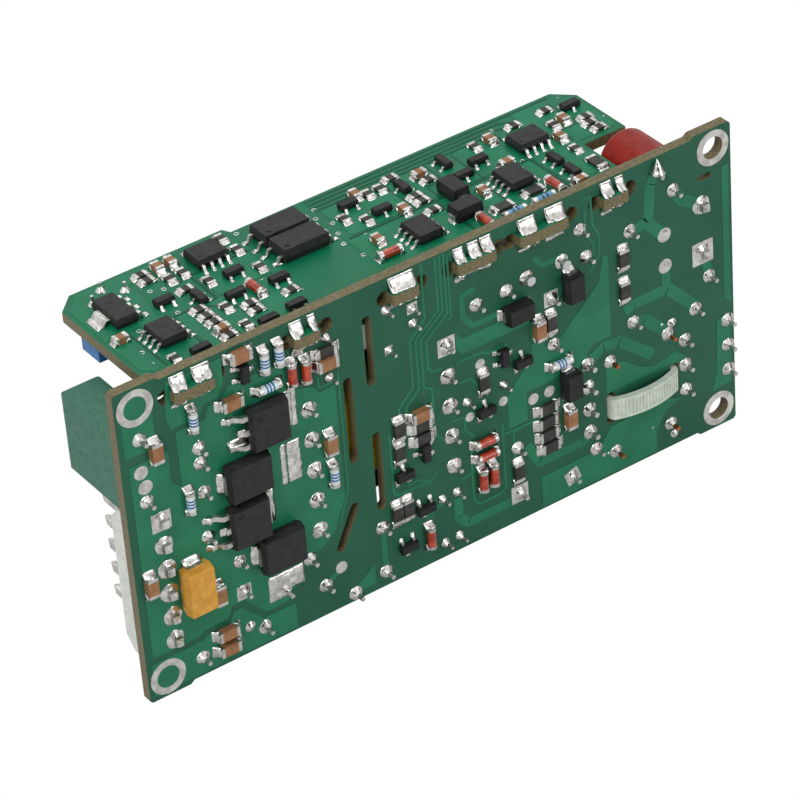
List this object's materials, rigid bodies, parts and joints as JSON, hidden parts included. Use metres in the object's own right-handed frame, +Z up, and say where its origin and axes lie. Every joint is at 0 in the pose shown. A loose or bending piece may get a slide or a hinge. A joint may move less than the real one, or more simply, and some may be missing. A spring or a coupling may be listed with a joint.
{
  "type": "open frame power supply",
  "caption": "Open frame power supply: main circuit board with soldered parts on both sides and a control board on top, held by its corner holes.",
  "frame": {"origin": "middle of the four mounting holes, on the solder side of the main board", "axes": "+X along the main board from the output header to the input header, +Y through the board to the side with the tall parts, +Z up across the board to the control board"},
  "size_m": [0.1016, 0.0301, 0.0508],
  "materials": {
    "main_board": "solder mask on glass laminate",
    "mounting_pads": "tinned copper",
    "control_board": "solder mask on glass laminate",
    "solder_joints": "bright solder",
    "tab_solder": "bright solder",
    "power_transistors": "moulded epoxy",
    "large_diodes": "moulded epoxy",
    "tantalum_capacitor": "moulded epoxy",
    "power_terminals": "tinned metal",
    "solder_side_resistors": "glazed film on ceramic",
    "solder_side_capacitors": "ceramic",
    "solder_side_cylinders": "lacquer with bands",
    "solder_side_glass_diodes": "tinted glass",
    "solder_side_end_caps": "tinned metal",
    "solder_side_packages": "moulded epoxy",
    "solder_side_package_leads": "tinned metal",
    "control_circuits": "moulded epoxy",
    "control_couplers": "moulded epoxy",
    "control_packages": "moulded epoxy",
    "control_package_leads": "tinned metal",
    "control_resistors": "glazed film on ceramic",
    "control_capacitors": "ceramic",
    "control_cylinders": "lacquer with bands",
    "control_glass_diodes": "tinted glass",
    "control_end_caps": "tinned metal",
    "trimmer_body": "moulded plastic",
    "trimmer_rotor": "moulded plastic",
    "trimmer_pins": "tinned wire",
    "film_capacitor": "moulded box",
    "output_header": "nylon",
    "output_pins": "tinned",
    "input_header": "nylon",
    "input_pins": "tinned",
    "fuse_1": "moulded plastic",
    "fuse_2": "moulded plastic",
    "cable_tie": "nylon",
    "transformer_core": "ferrite",
    "transformer_bobbin": "moulded",
    "transformer_winding": "tape over copper wire",
    "bulk_capacitor_1": "sleeved aluminium can",
    "bulk_capacitor_2": "sleeved aluminium can",
    "bridge_rectifier": "moulded epoxy",
    "thermistor": "coated disc",
    "varistor": "coated disc",
    "line_capacitor": "moulded box",
    "safety_capacitors": "coated disc",
    "choke_core": "coated ferrite",
    "choke_windings": "enamelled copper wire",
    "heat_sink": "bare sheet",
    "heat_sink_transistor": "moulded epoxy",
    "transistor_screw": "zinc plated",
    "small_capacitors": "sleeved aluminium can",
    "output_capacitors": "sleeved aluminium can",
    "output_choke": "ferrite rod with wire",
    "pulse_transformer_core": "ferrite",
    "pulse_transformer_bobbin": "nylon",
    "isolating_coupler": "moulded epoxy",
    "component_leads": "tinned wire",
    "wire_link": "tinned wire"
  },
  "bodies": {
    "power_supply": {"main_board": "main_board", "mounting_pads": "mounting_pads", "control_board": "control_board", "solder_joints": "solder_joints", "tab_solder": "tab_solder", "power_transistors": "power_transistors", "large_diodes": "large_diodes", "tantalum_capacitor": "tantalum_capacitor", "power_terminals": "power_terminals", "solder_side_resistors": "solder_side_resistors", "solder_side_capacitors": "solder_side_capacitors", "solder_side_cylinders": "solder_side_cylinders", "solder_side_glass_diodes": "solder_side_glass_diodes", "solder_side_end_caps": "solder_side_end_caps", "solder_side_packages": "solder_side_packages", "solder_side_package_leads": "solder_side_package_leads", "control_circuits": "control_circuits", "control_couplers": "control_couplers", "control_packages": "control_packages", "control_package_leads": "control_package_leads", "control_resistors": "control_resistors", "control_capacitors": "control_capacitors", "control_cylinders": "control_cylinders", "control_glass_diodes": "control_glass_diodes", "control_end_caps": "control_end_caps", "trimmer_body": "trimmer_body", "trimmer_pins": "trimmer_pins", "film_capacitor": "film_capacitor", "output_header": "output_header", "output_pins": "output_pins", "input_header": "input_header", "input_pins": "input_pins", "fuse_1": "fuse_1", "fuse_2": "fuse_2", "cable_tie": "cable_tie", "transformer_core": "transformer_core", "transformer_bobbin": "transformer_bobbin", "transformer_winding": "transformer_winding", "bulk_capacitor_1": "bulk_capacitor_1", "bulk_capacitor_2": "bulk_capacitor_2", "bridge_rectifier": "bridge_rectifier", "thermistor": "thermistor", "varistor": "varistor", "line_capacitor": "line_capacitor", "safety_capacitors": "safety_capacitors", "choke_core": "choke_core", "choke_windings": "choke_windings", "heat_sink": "heat_sink", "heat_sink_transistor": "heat_sink_transistor", "transistor_screw": "transistor_screw", "small_capacitors": "small_capacitors", "output_capacitors": "output_capacitors", "output_choke": "output_choke", "pulse_transformer_core": "pulse_transformer_core", "pulse_transformer_bobbin": "pulse_transformer_bobbin", "isolating_coupler": "isolating_coupler", "component_leads": "component_leads", "wire_link": "wire_link"},
    "rotor": {"trimmer_rotor": "trimmer_rotor"}
  },
  "joints": [
    {"name": "trimmer_turn", "type": "hinge", "parent": "power_supply", "child": "rotor", "pos_m": [-0.0368, 0.0265, 0.0174], "axis": [0, 1, 0], "range_deg": [-130, 130]}
  ]
}
